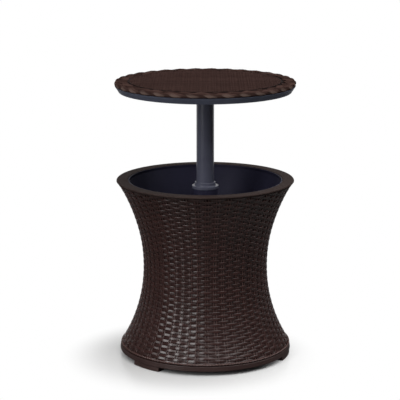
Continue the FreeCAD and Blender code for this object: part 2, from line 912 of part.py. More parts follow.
# Table top: hollow upper moulding with a rounded, scalloped border and a flat field
def table_top():
    top = Piece("table_top")
    edge = dim["table_radius"]
    field = table_height - 0.5
    border = edge - 11.5
    skin = 3.2
    top.revolve([
        (0, field),
        (0, field - skin),
        (edge - 7, field - skin),
        (edge - wall, edge_bottom + 8),
        (edge - wall, edge_bottom + 5.5),
        (edge - 6, edge_bottom + 3),
        (skirt_seat, edge_bottom + 3),
        (skirt_seat, edge_bottom),
        (edge - 3.5, edge_bottom, 3.5),
        (edge, edge_bottom + 3.5),
        (edge, table_height - 6.5, 6.5),
        (edge - 6.5, table_height),
        (border, table_height),
        (border - 1.2, field - 0.8),
        (border - 2.4, field),
    ])
    top.rib([
        (70, field - skin + 1),
        (70, edge_bottom + 6),
        (skirt_seat - 4, edge_bottom + 6),
        (edge - 8, field - skin + 1),
    ], 2.5, 12)
    bosses(top, edge_bottom, table_screw_circle, 5, field - skin - edge_bottom + 1, 8,
           table_screw_angle)
    screw_holes(top, edge_bottom, table_screw_circle, dim["screw_radius"], 8.5, 8,
                table_screw_angle)
    scallop = top.sketch("XY_Plane", edge_bottom - 1)
    notch = dim["scallop_radius"]
    half_step = 180 / dim["scallop_count"].value
    ring(scallop, *polar(edge + notch - dim["scallop_depth"], half_step), notch)
    top.repeat(top.bore(scallop, dim["table_edge_depth"] + 2), dim["scallop_count"])
    return top


outer_shell()
rim_ring()
liner()
base_plate()
guide_tube()
lock_collar()
collar_seal()
for step, name in enumerate(("foot_left", "foot_right", "foot_rear")):
    foot(name, foot_first + 120 * step)
drain_stub()
drain_washer()
drain_nut()
drain_elbow()
drain_cap()
cap_seal()
guide_shoe()
post()
bayonet_sleeve()
cross_pins("sleeve_pins", dim["post_radius"] - dim["post_wall"], lug_ring - 0.2,
           sleeve_pin_height, 2, 2)
cross_pins("socket_pin", -dim["post_radius"] - 4.1, dim["post_radius"] + 4.1,
           socket_pin_height, 3, 1)
post_socket()
table_base()
table_top()
screws("base_screws", base_screw_circle, deck_top - wall, deck_top + 12, base_screw_count,
       base_screw_angle)
screws("foot_screws", dim["foot_screw_circle"], 6, dim["foot_height"] + 10, 3,
       foot_first - foot_screw_spread, foot_first + foot_screw_spread)
screws("guide_screws", guide_screw_circle, deck_top + 3.5, deck_top - 9, 4, 45)
screws("table_screws", table_screw_circle, deck_bottom, edge_bottom + 8, 8, table_screw_angle)
screws("socket_screws", socket_screw_circle, deck_bottom, edge_bottom + 3, 4,
       socket_screw_angle)

doc.recompute()

# Every object has to be sound before anything is written
for item in doc.Objects:
    if "Invalid" in item.State or "Error" in item.State:
        raise RuntimeError(f"{item.Label} in {item.Name} did not compute")
for node in nodes:
    if node.Shape.isNull() or not node.Shape.isValid():
        raise RuntimeError(f"{node.Label} has no sound shape")
for node in nodes:
    node.Shape.exportStep(os.path.join("parts", f"{node.Label}.step"))
    print(f"{node.Label}: {len(node.Shape.Solids)} solids, {node.Shape.Volume / 1000:.1f} cm3")
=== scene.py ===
# Cooler table with lid: a waisted bucket with a woven look on three feet, and a round table
# on a post that lifts, turns to lock and closes the bucket when it is down.
# Metres, +Z up, the viewer on the -Y side.

import json
import math

import bmesh
import bpy
import numpy as np
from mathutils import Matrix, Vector


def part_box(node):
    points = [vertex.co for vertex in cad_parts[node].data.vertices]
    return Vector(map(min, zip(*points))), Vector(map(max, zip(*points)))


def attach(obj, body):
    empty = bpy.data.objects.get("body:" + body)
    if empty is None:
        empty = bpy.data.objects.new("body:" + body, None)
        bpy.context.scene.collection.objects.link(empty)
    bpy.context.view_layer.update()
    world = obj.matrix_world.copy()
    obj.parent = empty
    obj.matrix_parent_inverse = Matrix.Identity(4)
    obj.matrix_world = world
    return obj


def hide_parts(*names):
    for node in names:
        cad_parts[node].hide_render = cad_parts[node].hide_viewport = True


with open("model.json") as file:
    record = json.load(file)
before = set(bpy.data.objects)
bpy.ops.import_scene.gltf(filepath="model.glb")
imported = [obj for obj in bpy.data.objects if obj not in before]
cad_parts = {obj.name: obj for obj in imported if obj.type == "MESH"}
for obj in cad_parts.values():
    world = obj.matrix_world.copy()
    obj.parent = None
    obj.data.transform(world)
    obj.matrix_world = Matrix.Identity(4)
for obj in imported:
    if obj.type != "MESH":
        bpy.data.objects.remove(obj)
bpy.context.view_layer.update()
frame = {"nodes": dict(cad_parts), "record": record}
nodes = frame["nodes"]

draws = np.random.default_rng(11)
sharpAngle = 55  # degrees between faces that keep a hard edge
topRise = 0.18  # how much higher the top of a strand counts than its middle
flatSection = [(-1, -0.7), (-1, 0.3), (-0.9, 0.84), (-0.6, 1), (0.6, 1), (0.9, 0.84), (1, 0.3), (1, -0.7)]
ovalSection = [(0.72, -0.8), (0.97, -0.35), (0.97, 0.35), (0.72, 0.8), (0.26, 1), (-0.26, 1),
               (-0.72, 0.8), (-0.97, 0.35), (-0.97, -0.35), (-0.72, -0.8), (-0.26, -1), (0.26, -1)]


def circle(count, more=0):  # angles once round, and on for more points
    return np.arange(count + more) * 2 * math.pi / count


def rounded(sides):  # a round section
    return [(math.cos(turn), math.sin(turn)) for turn in (np.arange(sides) + 0.5) * 2 * math.pi / sides]


class Wire:  # one socket, so that shader maths reads as arithmetic
    def __init__(self, paint, socket):
        self.paint = paint
        self.socket = socket

    def maths(self, operation, first, second):
        return self.paint.node("Math", {"operation": operation}, {0: first, 1: second})

    def __add__(self, other):
        return self.maths("ADD", self, other)

    def __radd__(self, other):
        return self.maths("ADD", other, self)

    def __sub__(self, other):
        return self.maths("SUBTRACT", self, other)

    def __rsub__(self, other):
        return self.maths("SUBTRACT", other, self)

    def __mul__(self, other):
        return self.maths("MULTIPLY", self, other)

    def __rmul__(self, other):
        return self.maths("MULTIPLY", other, self)


class Paint:  # the nodes of one material, or of the world
    def __init__(self, owner, output="OutputMaterial"):
        self.owner = bpy.data.materials.new(owner) if isinstance(owner, str) else owner
        self.owner.use_nodes = True
        self.tree = self.owner.node_tree
        self.tree.nodes.clear()
        self.output = self.tree.nodes.new("ShaderNode" + output)

    def plug(self, socket, value):
        if isinstance(value, Wire):
            self.tree.links.new(value.socket, socket)
        elif socket.type == "RGBA":
            socket.default_value = (*value, 1)
        else:
            socket.default_value = value

    def node(self, kind, settings={}, values={}, out=0):
        made = self.tree.nodes.new("ShaderNode" + kind)
        for name, value in settings.items():
            setattr(made, name, value)
        for name, value in values.items():
            self.plug(made.inputs[name], value)
        return Wire(self, made.outputs[out])

    def place(self):
        return self.node("TexCoord", out="Object")

    def noise(self, where, scale, detail=2.0):
        return self.node("TexNoise", {}, {"Vector": where, "Scale": scale, "Detail": detail})

    def stretched(self, where, scales):
        return self.node("VectorMath", {"operation": "MULTIPLY"}, {0: where, 1: scales})

    def blend(self, share, first, second):  # of two colours, which are its sockets 6 and 7
        return self.node("Mix", {"data_type": "RGBA"}, {0: share, 6: first, 7: second}, 2)

    def between(self, value, low, high):  # 0 at low, 1 at high
        return self.node("MapRange", {}, {"Value": value, "From Min": low, "From Max": high})

    def bump(self, height, depth, strength):
        return self.node("Bump", {}, {"Height": height, "Distance": depth, "Strength": strength})

    def seen(self, behind):  # 1 to the camera, and behind the object also to mirrored rays
        rays = ("Is Camera Ray", "Is Glossy Ray", "Is Transmission Ray")
        camera, mirrored, through = (self.node("LightPath", out=ray) for ray in rays)
        return self.between(camera + (mirrored + through) * behind, 0.0, 1.0)

    def show(self, shader):
        self.tree.links.new(shader.socket, self.output.inputs[0])
        return self.owner

    def plastic(self, **values):
        named = {name.replace("_", " "): value for name, value in values.items()}
        return self.node("BsdfPrincipled", {}, named)

    def finish(self, **values):
        return self.show(self.plastic(**values))


class Skin:  # tubes of points gathered into one mesh, with what the finishes read
    def __init__(self):
        self.points, self.quads = [], []
        self.grain, self.tone, self.rise = [], [], []
        self.used = 0

    def tube(self, points, along, tone, rise, closed):
        rings, sides = points.shape[:2]
        steps = np.linalg.norm(np.roll(points[0], -1, 0) - points[0], axis=1)
        across = np.concatenate([[0], np.cumsum(steps)])
        spans = np.arange(rings if closed else rings - 1)
        ring, side = np.meshgrid(spans, np.arange(sides), indexing="ij")
        here, there = self.used + ring * sides, self.used + (ring + 1) % rings * sides
        beside = (side + 1) % sides
        corners = [here + side, there + side, there + beside, here + beside]
        self.quads.append(np.stack(corners, -1).reshape(-1, 4))
        grain = [along[ring], across[side], along[ring + 1], across[side],
                 along[ring + 1], across[side + 1], along[ring], across[side + 1]]
        self.grain.append(np.stack(grain, -1).reshape(-1, 2))
        if not closed:
            inner = np.arange(sides // 2 - 1)
            cap = np.stack([inner, inner + 1, sides - 2 - inner, sides - 1 - inner], -1)
            for end, order in ((0, 1), (rings - 1, -1)):
                self.quads.append(self.used + end * sides + cap[:, ::order])
                self.grain.append(np.tile((along[end], 0.0), (cap.size, 1)))
        self.points.append(points.reshape(-1, 3))
        self.tone.append(np.full(rings * sides, tone))
        self.rise.append(np.broadcast_to(rise, (rings, sides)).reshape(-1))
        self.used += rings * sides

    def strand(self, centre, side, out, wide, thick, section, tone, lift, closed=False):
        shape = np.array(section)  # (sideways, outwards) in half widths and half thicknesses
        sideways = np.reshape(wide, (-1, 1)) * shape[:, 0]
        outwards = np.reshape(thick, (-1, 1)) * shape[:, 1]
        aside = side[:, None] * sideways[..., None]
        points = centre[:, None] + aside + out[:, None] * outwards[..., None]
        path = np.concatenate([centre, centre[:1]]) if closed else centre
        along = np.concatenate([[0], np.cumsum(np.linalg.norm(np.diff(path, axis=0), axis=1))])
        rise = np.clip(np.reshape(lift, (-1, 1)) + topRise * shape[:, 1], 0, 1)
        self.tube(points, along, tone, rise, closed)

    def turn(self, outline, steps, tone, rise):  # a closed (radius, height) outline round the Z axis
        radii, heights = np.array(outline).T
        turns = circle(steps)
        x, y = np.outer(np.cos(turns), radii), np.outer(np.sin(turns), radii)
        points = np.stack([x, y, np.tile(heights, (steps, 1))], -1)
        self.tube(points, circle(steps, 1) * radii.max(), tone, rise, True)

    def build(self, name, body, slot, material, *replaced):
        mesh = bpy.data.meshes.new(name)
        mesh.from_pydata(np.concatenate(self.points).tolist(), [], np.concatenate(self.quads).tolist())
        layer = mesh.uv_layers.new(name="grain")
        layer.data.foreach_set("uv", np.concatenate(self.grain).astype(np.float32).ravel())
        for key, values in (("tone", self.tone), ("rise", self.rise)):
            attribute = mesh.attributes.new(key, "FLOAT", "POINT")
            attribute.data.foreach_set("value", np.concatenate(values).astype(np.float32))
        work = bmesh.new()
        work.from_mesh(mesh)
        bmesh.ops.recalc_face_normals(work, faces=work.faces)
        work.to_mesh(mesh)
        work.free()
        mesh.shade_smooth()
        mesh.set_sharp_from_angle(angle=math.radians(sharpAngle))
        mesh.materials.append(material)
        piece = bpy.data.objects.new(name, mesh)
        bpy.context.scene.collection.objects.link(piece)
        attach(piece, body)
        if replaced:
            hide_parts(*replaced)
        print(name + ":", len(mesh.polygons), "faces")


# Camera, lamps and floor
view = {
    "picture": 400,  # pixels each way
    "focal": 1631,  # pixels
    "axisPixel": 205.25,  # the post's axis, in pixels from the left
    "sensor": 36,  # mm
    "away": 4.40,
    "height": 1.4033,
    "pitch": 12.45,  # degrees down
}
lamps = {
    "sky": 0.10,
    "aim": (0, 0, 0.35),
    "key": {"turn": -42, "rise": 31, "away": 3.0, "wide": 1.15, "tall": 3.2, "level": 4.7},
    "fill": {"turn": 60, "rise": 60, "away": 3.0, "wide": 4.8, "tall": 2.6, "level": 2.35},
    "top": {"turn": 180, "rise": 66, "away": 3.0, "wide": 2.6, "tall": 2.0, "level": 1.1},
    "backdrop": (0.85, 0.97),  # how far back a mirrored ray points where it meets the white backdrop
}
ground = {
    "radius": 30,
    "sides": 64,
    "colour": (0.93, 0.93, 0.925),
    "clouds": 0.8,
    "cloudShade": 0.985,
    "bounce": (0.1, 0.1, 0.1),  # what lights the object from below
    "behind": (1.5, 3.0),  # where the floor starts to be backdrop to mirrored rays
    "middle": (-0.04, -0.05, 0),  # of the shadow
    "near": 0.21,  # from its middle, where the floor starts to turn white
    "far": 0.365,  # and where it is white
    "roughness": 0.25,
    "gloss": 0.4,
}


def placeCamera():
    lens = bpy.data.cameras.new("camera")
    lens.sensor_width = view["sensor"]
    lens.lens = view["focal"] / view["picture"] * view["sensor"]
    lens.shift_x = (view["picture"] / 2 - view["axisPixel"]) / view["picture"]
    camera = bpy.data.objects.new("camera", lens)
    camera.location = (0, -view["away"], view["height"])
    camera.rotation_euler = (math.radians(90 - view["pitch"]), 0, 0)
    bpy.context.scene.collection.objects.link(camera)
    bpy.context.scene.camera = camera


def hangLamp(name, turn, rise, away, wide, tall, level):  # turn from the viewer and rise, in degrees
    lamp = bpy.data.lights.new(name, "AREA")
    lamp.shape = "RECTANGLE"
    lamp.size, lamp.size_y = wide, tall
    lamp.energy = level * math.pi * wide * tall  # as bright at any size
    turn, rise = math.radians(turn), math.radians(rise)
    toward = Vector((math.sin(turn) * math.cos(rise), -math.cos(turn) * math.cos(rise), math.sin(rise)))
    stand = bpy.data.objects.new(name, lamp)
    stand.location = Vector(lamps["aim"]) + toward * away
    stand.rotation_euler = toward.to_track_quat("Z", "Y").to_euler()
    bpy.context.scene.collection.objects.link(stand)


def lightRoom():
    world = bpy.data.worlds.new("studio")
    paint = Paint(world, "OutputWorld")
    away = paint.node("SeparateXYZ", {}, {0: paint.node("TexCoord")}, "Y")
    white = paint.seen(paint.between(away, *lamps["backdrop"]))
    sky, backdrop = (paint.node("Background", {}, {"Color": (1, 1, 1), "Strength": strength})
                     for strength in (lamps["sky"], 1.0))
    paint.show(paint.node("MixShader", {}, {0: white, 1: sky, 2: backdrop}))
    bpy.context.scene.world = world
    for name in ("key", "fill", "top"):
        hangLamp(name + "_lamp", **lamps[name])


def layFloor():
    paint = Paint("floor")
    place = paint.place()
    back = paint.node("SeparateXYZ", {}, {0: place}, "Y")
    seen = paint.seen(paint.between(back, *ground["behind"]))
    shade = tuple(value * ground["cloudShade"] for value in ground["colour"])
    colour = paint.blend(paint.noise(place, ground["clouds"]), ground["colour"], shade)
    cover = paint.plastic(
        Base_Color=paint.blend(seen, ground["bounce"], colour),
        Roughness=ground["roughness"],
        Specular_IOR_Level=ground["gloss"],
    )
    reach = paint.node("VectorMath", {"operation": "DISTANCE"}, {0: place, 1: ground["middle"]}, "Value")
    spread = paint.node("MapRange", {"interpolation_type": "SMOOTHSTEP"}, {
        "Value": reach, "From Min": ground["near"], "From Max": ground["far"]})
    glow = paint.node("Emission", {}, {"Color": (1, 1, 1), "Strength": 1.0})
    paint.show(paint.node("MixShader", {}, {0: seen * spread, 1: cover, 2: glow}))
    mesh = bpy.data.meshes.new("floor")
    work = bmesh.new()
    bmesh.ops.create_circle(work, cap_ends=True, segments=ground["sides"], radius=ground["radius"])
    work.to_mesh(mesh)
    work.free()
    mesh.materials.append(paint.owner)
    floor = bpy.data.objects.new("floor", mesh)
    bpy.context.scene.collection.objects.link(floor)


bpy.context.scene.view_settings.view_transform = "Standard"
placeCamera()
lightRoom()
layFloor()
print("camera, lamps and floor are in place")

# What all woven pieces share
wicker = {
    "streaks": (45, 1500, 1),  # along and across a strand
    "streakBump": (0.00022, 0.5),  # depth and strength, as in the other finishes
    "blotches": 14.0,
    "mottle": 0.35,  # share of the streaks and of the blotches in a strand's shade
    "shade": (0.30, 0.4),  # where it is deep, and where it is plain before the dye's share is added
    "wear": (0.95, 1.35),  # height where wear starts, and where it is full
    "ragged": 0.5,  # share of the streaks in where a strand is worn
    "wearShare": 0.3,
    "wearSmooth": 0.05,
    "hollow": 0.45,  # height under which a strand is darkened with painted shade
    "hollowShade": 0.35,
    "rough": 0.2,  # share of the streaks and of the hollows in the roughness
    "filling": (0.955, 0.045),  # share of its row that a strand fills, and its swing with the wave
}


def wickerFinish(name, deep, base, worn, roughness=0.28, gloss=0.65, dyed=0.45, paintedShadeShare=0.2):
    paint = Paint(name)
    grain = paint.node("UVMap", {"uv_map": "grain"})
    tone, rise = (paint.node("Attribute", {"attribute_name": key}, out="Fac") for key in ("tone", "rise"))
    streaks = paint.noise(paint.stretched(grain, wicker["streaks"]), 1.0, detail=3.0)
    blotches = paint.noise(paint.place(), wicker["blotches"])
    low, high = wicker["shade"]
    shade = tone * dyed + streaks * wicker["mottle"] + blotches * wicker["mottle"]
    # lightening of the raised parts: wear, and with the border's light worn colour also a painted
    # highlight
    wear = paint.between(rise + streaks * wicker["ragged"], *wicker["wear"])
    # painted shade: the lower, sunken parts of a strand are darkened towards a darker copy of its deep
    # colour
    hollow = paint.between(rise, wicker["hollow"], 0.0)
    colour = paint.blend(paint.between(shade, low, high + dyed), deep, base)
    colour = paint.blend(wear * wicker["wearShare"], colour, worn)
    colour = paint.blend(hollow * paintedShadeShare, colour, tuple(value * wicker["hollowShade"] for value in deep))
    rough = roughness + wicker["rough"] * (streaks - 0.5) + hollow * wicker["rough"]
    return paint.finish(
        Base_Color=colour,
        Roughness=rough - wear * wicker["wearSmooth"],
        Specular_IOR_Level=gloss,
        Normal=paint.bump(streaks, *wicker["streakBump"]),
    )


def crossing(phase, snap):  # an in-and-out wave: level at the stakes and straight between them
    return np.clip(snap * np.arcsin(np.cos(phase)) * 2 / math.pi, -1, 1)


def rowWidth(pitch, wave):  # half the width of a strand
    filled, swell = wicker["filling"]
    return pitch / 2 * (filled + swell * wave)


# Profile of the bucket's wall, on which its woven pieces lie
wall = {
    "footRadius": 0.2345,
    "roll": 0.043,  # the height where the wall turns in to its foot
    "waistRadius": 0.172,
    "waist": 0.249,
    "flareBelow": 0.411,  # bending radius of the profile below the waist
    "flareAbove": 0.439,  # and above it
    "bulge": 0.0010,  # how far the weave stands out below the rim
    "bulgeFoot": 0.31,
    "samples": 600,
    "evened": 11,  # samples over which the slope is evened out
    "pairs": 50,  # of stakes
    "firstPair": -88.75,  # degrees from the X axis
    "outletHeight": 0.072,  # of the drain
    "outletClear": 0.0135,  # radius that the weave leaves free
}
wallFoot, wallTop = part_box("outer_shell")[0].z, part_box("outer_shell")[1].z
firstPair = math.radians(wall["firstPair"])


def wallRadius(height):
    if height < wall["roll"]:
        share = (height - wallFoot) / (wall["roll"] - wallFoot)
        return wall["footRadius"] + share * (wallRadius(wall["roll"]) - wall["footRadius"])
    bend = wall["flareAbove"] if height > wall["waist"] else wall["flareBelow"]
    share = min(max((height - wall["bulgeFoot"]) / (wallTop - wall["bulgeFoot"]), 0), 1)
    bulge = wall["bulge"] * math.sin(math.pi * share) ** 2
    return wall["waistRadius"] + bulge + bend - math.sqrt(bend ** 2 - (height - wall["waist"]) ** 2)


wallHeights = np.linspace(wallFoot, wallTop, wall["samples"])
wallRadii = np.array([wallRadius(height) for height in wallHeights])
wallRun = np.concatenate([[0], np.cumsum(np.hypot(np.diff(wallRadii), np.diff(wallHeights)))])
wallSlope = np.pad(np.gradient(wallRadii, wallRun), wall["evened"] // 2, "edge")
wallLean = np.convolve(wallSlope, np.ones(wall["evened"]) / wall["evened"], "valid")


def onWall(run, turn, depth):  # middle, upward direction and outward direction on the wall
    run, turn, depth = np.broadcast_arrays(run, turn, depth)
    lean = np.interp(run, wallRun, wallLean)
    climb = np.sqrt(1 - lean ** 2)
    spoke = np.stack([np.cos(turn), np.sin(turn), np.zeros_like(turn)], -1)
    up = spoke * lean[:, None]
    up[:, 2] = climb
    out = spoke * climb[:, None]
    out[:, 2] = -lean
    middle = spoke * np.interp(run, wallRun, wallRadii)[:, None] - out * depth[:, None]
    middle[:, 2] += np.interp(run, wallRun, wallHeights)
    return middle, up, out


# Weave of the wall: flat strands in and out between pairs of thin stakes
weave = {
    "rows": 60,
    "steps": 400,  # points round one strand
    "thick": 0.0011,
    "swing": 0.0016,  # half of how far a strand moves in and out
    "snap": 1.6,  # how quickly it crosses
    "uneven": 0.0001,  # the most that one strand lies deeper than the next
    "lift": (0.45, 0.37),  # height that the finish reads, and its swing
    "finish": {
        "deep": (0.026, 0.0092, 0.0076),
        "base": (0.042, 0.0150, 0.0128),
        "worn": (0.054, 0.022, 0.019),
    },
}


def weaveWall(name, first, last, material):
    skin = Skin()
    pitch = wallRun[-1] / weave["rows"]
    lift, liftSwing = weave["lift"]
    for row in range(first, last):
        run = (row + 0.5) * pitch
        drop = max(abs(np.interp(run, wallRun, wallHeights) - wall["outletHeight"]) - pitch / 2, 0)
        closed = drop >= wall["outletClear"]
        if closed:
            turns = firstPair + circle(weave["steps"])
        else:  # the strand stops on each side of the drain's outlet
            spare = math.sqrt(wall["outletClear"] ** 2 - drop ** 2) / np.interp(run, wallRun, wallRadii)
            turns = math.pi / 2 + np.linspace(spare, 2 * math.pi - spare, weave["steps"])
        wave = crossing((turns - firstPair) * wall["pairs"] / 2, weave["snap"]) * (-1) ** row
        depth = weave["thick"] + weave["swing"] * (1 - wave) + draws.uniform(0, weave["uneven"])
        middle, up, out = onWall(run, turns, depth)
        skin.strand(middle, up, out, rowWidth(pitch, wave), weave["thick"], flatSection,
                    draws.random(), lift + liftSwing * wave, closed)
    skin.build(name, "cooler_body", "woven_brown", material, "outer_shell")


# Stakes of the wall, from its foot to its top
stakes = {
    "gap": 0.0040,  # from a pair's middle to each stake, at the foot
    "thick": 0.0012,
    "depth": 0.0018,
    "step": 0.012,  # between points along a stake
    "lift": 0.55,
    # lighter than the strands, as painted sheen of the stakes' edges
    "finish": {
        "deep": (0.060, 0.026, 0.022),
        "base": (0.105, 0.050, 0.044),
        "worn": (0.14, 0.08, 0.07),
        "roughness": 0.34,
        "gloss": 0.8,
    },
}


def standStakes(material):
    skin = Skin()
    outletRun = np.interp(wall["outletHeight"], wallHeights, wallRun)
    for pair in range(wall["pairs"]):
        for side in (-1, 1):
            turn = firstPair + pair * 2 * math.pi / wall["pairs"]
            turn += side * stakes["gap"] / wall["footRadius"]
            tone = draws.random()
            spans = [(wallRun[0], wallRun[-1])]
            aside = abs(math.remainder(turn - math.pi / 2, math.tau)) * wallRadius(wall["outletHeight"])
            if aside < wall["outletClear"]:
                reach = math.sqrt(wall["outletClear"] ** 2 - aside ** 2)
                spans = [(wallRun[0], outletRun - reach), (outletRun + reach, wallRun[-1])]
            for low, high in spans:
                runs = np.linspace(low, high, max(int((high - low) / stakes["step"]), 2) + 1)
                middle, up, out = onWall(runs, turn, stakes["depth"])
                skin.strand(middle, np.cross(up, out), out, stakes["thick"], stakes["thick"], ovalSection,
                            tone, stakes["lift"])
    skin.build("wall_stakes", "cooler_body", "woven_brown", material, "outer_shell")


# Wall behind the weave, coloured dark as painted shade in the gaps between the strands
backing = {
    "depth": 0.0036,
    "thick": 0.002,
    "rings": 44,
    "sides": 160,
    "tone": 0.3,
    "rise": 0.1,
    "finish": {
        "deep": (0.016, 0.008, 0.0075),
        "base": (0.024, 0.012, 0.011),
        "worn": (0.026, 0.014, 0.013),
        "roughness": 0.7,
        "gloss": 0.1,
    },
}


def backWall(material):
    runs = np.linspace(0, wallRun[-1], backing["rings"])
    faces = []
    for depth in (backing["depth"], backing["depth"] + backing["thick"]):
        middle = onWall(runs, 0.0, depth)[0]
        faces.append([(x, min(max(z, wallFoot), wallTop)) for x, y, z in middle])
    skin = Skin()
    skin.turn(faces[0] + faces[1][::-1], backing["sides"], backing["tone"], backing["rise"])
    skin.build("wall_core", "cooler_body", "woven_brown", material, "outer_shell")


# Cord of two twisted strands along the foot, and the bead round the drain's outlet
trim = {
    "cord": 0.0024,  # half its thickness, and its way up the wall
    "strand": 0.0013,  # half of one strand's
    "depth": -0.0004,
    "twists": 84,  # all the way round
    "twistSteps": 10,
    "tone": (0.5, 0.4),  # of the first strand, and what the second adds
    "lift": (0.75, 0.2),
    "bead": 0.0022,  # half its thickness
    "beadDepth": 0.0015,
    "beadSteps": 48,
    "beadLift": 0.6,
}


def trimWall(material):
    skin = Skin()
    turns = circle(trim["twists"] * trim["twistSteps"])
    middle, up, out = onWall(trim["cord"], turns, trim["depth"])
    tone, toneStep = trim["tone"]
    lift, liftSwing = trim["lift"]
    for ply in (0, 1):
        twist = trim["twists"] * turns + ply * math.pi
        offset = up * np.sin(twist)[:, None] + out * np.cos(twist)[:, None]
        strand = middle + offset * (trim["cord"] - trim["strand"])
        skin.strand(strand, up, out, trim["strand"], trim["strand"], rounded(8),
                    tone + ply * toneStep, lift + liftSwing * np.cos(twist), True)
    ring = circle(trim["beadSteps"])
    heights = wall["outletHeight"] + wall["outletClear"] * np.sin(ring)
    aside = np.arcsin(wall["outletClear"] * np.cos(ring) / np.interp(heights, wallHeights, wallRadii))
    runs = np.interp(heights, wallHeights, wallRun)
    middle, up, out = onWall(runs, math.pi / 2 - aside, trim["beadDepth"])
    ahead = np.roll(middle, -1, 0) - np.roll(middle, 1, 0)
    across = np.cross(out, ahead / np.linalg.norm(ahead, axis=1)[:, None])
    skin.strand(middle, across, out, trim["bead"], trim["bead"], rounded(10),
                tone, trim["beadLift"], True)
    skin.build("wall_trim", "cooler_body", "woven_brown", material, "outer_shell")


wallWicker = wickerFinish("wall_wicker", **weave["finish"])
middleRow = weave["rows"] // 2
weaveWall("wall_weave_lower", 0, middleRow, wallWicker)
weaveWall("wall_weave_upper", middleRow, weave["rows"], wallWicker)
stakeWicker = wickerFinish("stake_wicker", **stakes["finish"])
standStakes(stakeWicker)
backWall(wickerFinish("wall_shadow", **backing["finish"]))
# the trim takes the stakes' lighter finish, with its painted sheen
trimWall(stakeWicker)

# Section of the table's edge
edge = {
    "radius": 0.2475,
    "top": 0.7655,
    "foot": 0.752,
    "bendAbove": 0.0065,  # radius of its upper rounding
    "bendBelow": 0.0025,  # and of its lower one
}


def onEdge(turns, run, depth):  # points below the table's edge; run goes up from the middle of its side
    upper, lower = edge["top"] - edge["bendAbove"], edge["foot"] + edge["bendBelow"]
    flat = (upper - lower) / 2
    bend = np.where(run > 0, edge["bendAbove"], edge["bendBelow"])
    past = np.maximum(np.abs(run) - flat, 0)
    angle = np.minimum(past / bend, math.pi / 2)
    inward = np.maximum(past - bend * math.pi / 2, 0)
    radius = edge["radius"] - bend + (bend - depth) * np.cos(angle) - inward
    offset = np.sign(run) * (np.minimum(np.abs(run), flat) + (bend - depth) * np.sin(angle))
    return np.stack([np.cos(turns) * radius, np.sin(turns) * radius, (upper + lower) / 2 + offset], -1)


# Border of the table: three flat strands plaited from the foot of its side over the bend to the field
plait = {
    "cycles": 11,  # of each strand, round the table
    "cycleSteps": 64,
    "middle": 0.0186,  # of the plait, from the middle of the side over the bend
    "sway": 0.0147,
    "dip": 0.0012,  # half of how far a strand dives under the next
    "wide": 0.0088,
    "thick": 0.0013,
    "widened": 1.25,  # the most that a slanting strand is widened
    "lift": (0.35, 0.25),
    "topRise": 0.12,
    "wornSheen": -0.001,  # where the edge is lightened: wear and a painted highlight
    "wornSheenWidth": 0.005,
    "wornSheenShare": 0.6,
    "mostRise": 1.2,
    "roll": [(0.2290, 0.7522), (0.2415, 0.7522), (0.2450, 0.7540), (0.2456, 0.7578), (0.2434, 0.7616),
             (0.2385, 0.7632), (0.2290, 0.7630)],  # under the strands
    "rollSides": 160,
    "rollTone": 0.5,
    "rollRise": 0.45,
    "finish": {
        "deep": (0.026, 0.0142, 0.0124),
        "base": (0.060, 0.034, 0.029),
        # light worn colour: wear and a painted highlight on the strokes of the edge
        "worn": (0.36, 0.26, 0.22),
        "roughness": 0.6,
        "gloss": 0.0,
    },
}


def plaitBorder(material):
    skin = Skin()
    count = plait["cycles"] * plait["cycleSteps"]
    turns = circle(count)
    along = circle(count, 1) * edge["radius"]
    across, above = np.array(ovalSection).T
    lift, liftSwing = plait["lift"]
    for strand in range(3):
        phase = plait["cycles"] * turns + strand * 2 * math.pi / 3
        over = np.sin(2 * phase)[:, None]
        slant = np.cos(phase) * plait["sway"] * plait["cycles"] / edge["radius"]
        wide = plait["wide"] * np.minimum(np.sqrt(1 + slant ** 2), plait["widened"])
        run = plait["middle"] + plait["sway"] * np.sin(phase)[:, None] + wide[:, None] * across
        depth = plait["thick"] * (1 - above) + plait["dip"] * (1 - over)
        # a band round the side of the edge is lifted so that it is lightened: wear and a painted
        # highlight
        wornSheen = np.exp(-((run - plait["wornSheen"]) / plait["wornSheenWidth"]) ** 2)
        rise = lift + liftSwing * over + plait["topRise"] * above + plait["wornSheenShare"] * wornSheen
        skin.tube(onEdge(turns[:, None], run, depth), along, draws.random(),
                  np.clip(rise, 0, plait["mostRise"]), True)
    skin.turn(plait["roll"], plait["rollSides"], plait["rollTone"], plait["rollRise"])
    skin.build("border_plait", "table", "woven_brown", material, "table_top")


# Woven field of the table
field = {
    "radius": 0.2055,
    "top": 0.7652,
    "pitch": 0.0085,
    "step": 0.0034,  # between points along a strand
    "thick": 0.0008,
    "swing": 0.0009,
    "snap": 1.8,
    "lift": (0.45, 0.3),
    "pairPitch": 0.024,
    "pairGap": 0.0033,
    "stake": 0.0012,
    "stakeDepth": 0.0003,
    "stakeLift": 0.5,
    "finish": {
        "deep": (0.033, 0.0184, 0.0163),
        "base": (0.048, 0.0274, 0.0240),
        "worn": (0.058, 0.034, 0.030),
        "roughness": 0.8,
        "gloss": 0.0,
        "dyed": 0.25,
        "paintedShadeShare": 1.0,
    },
}


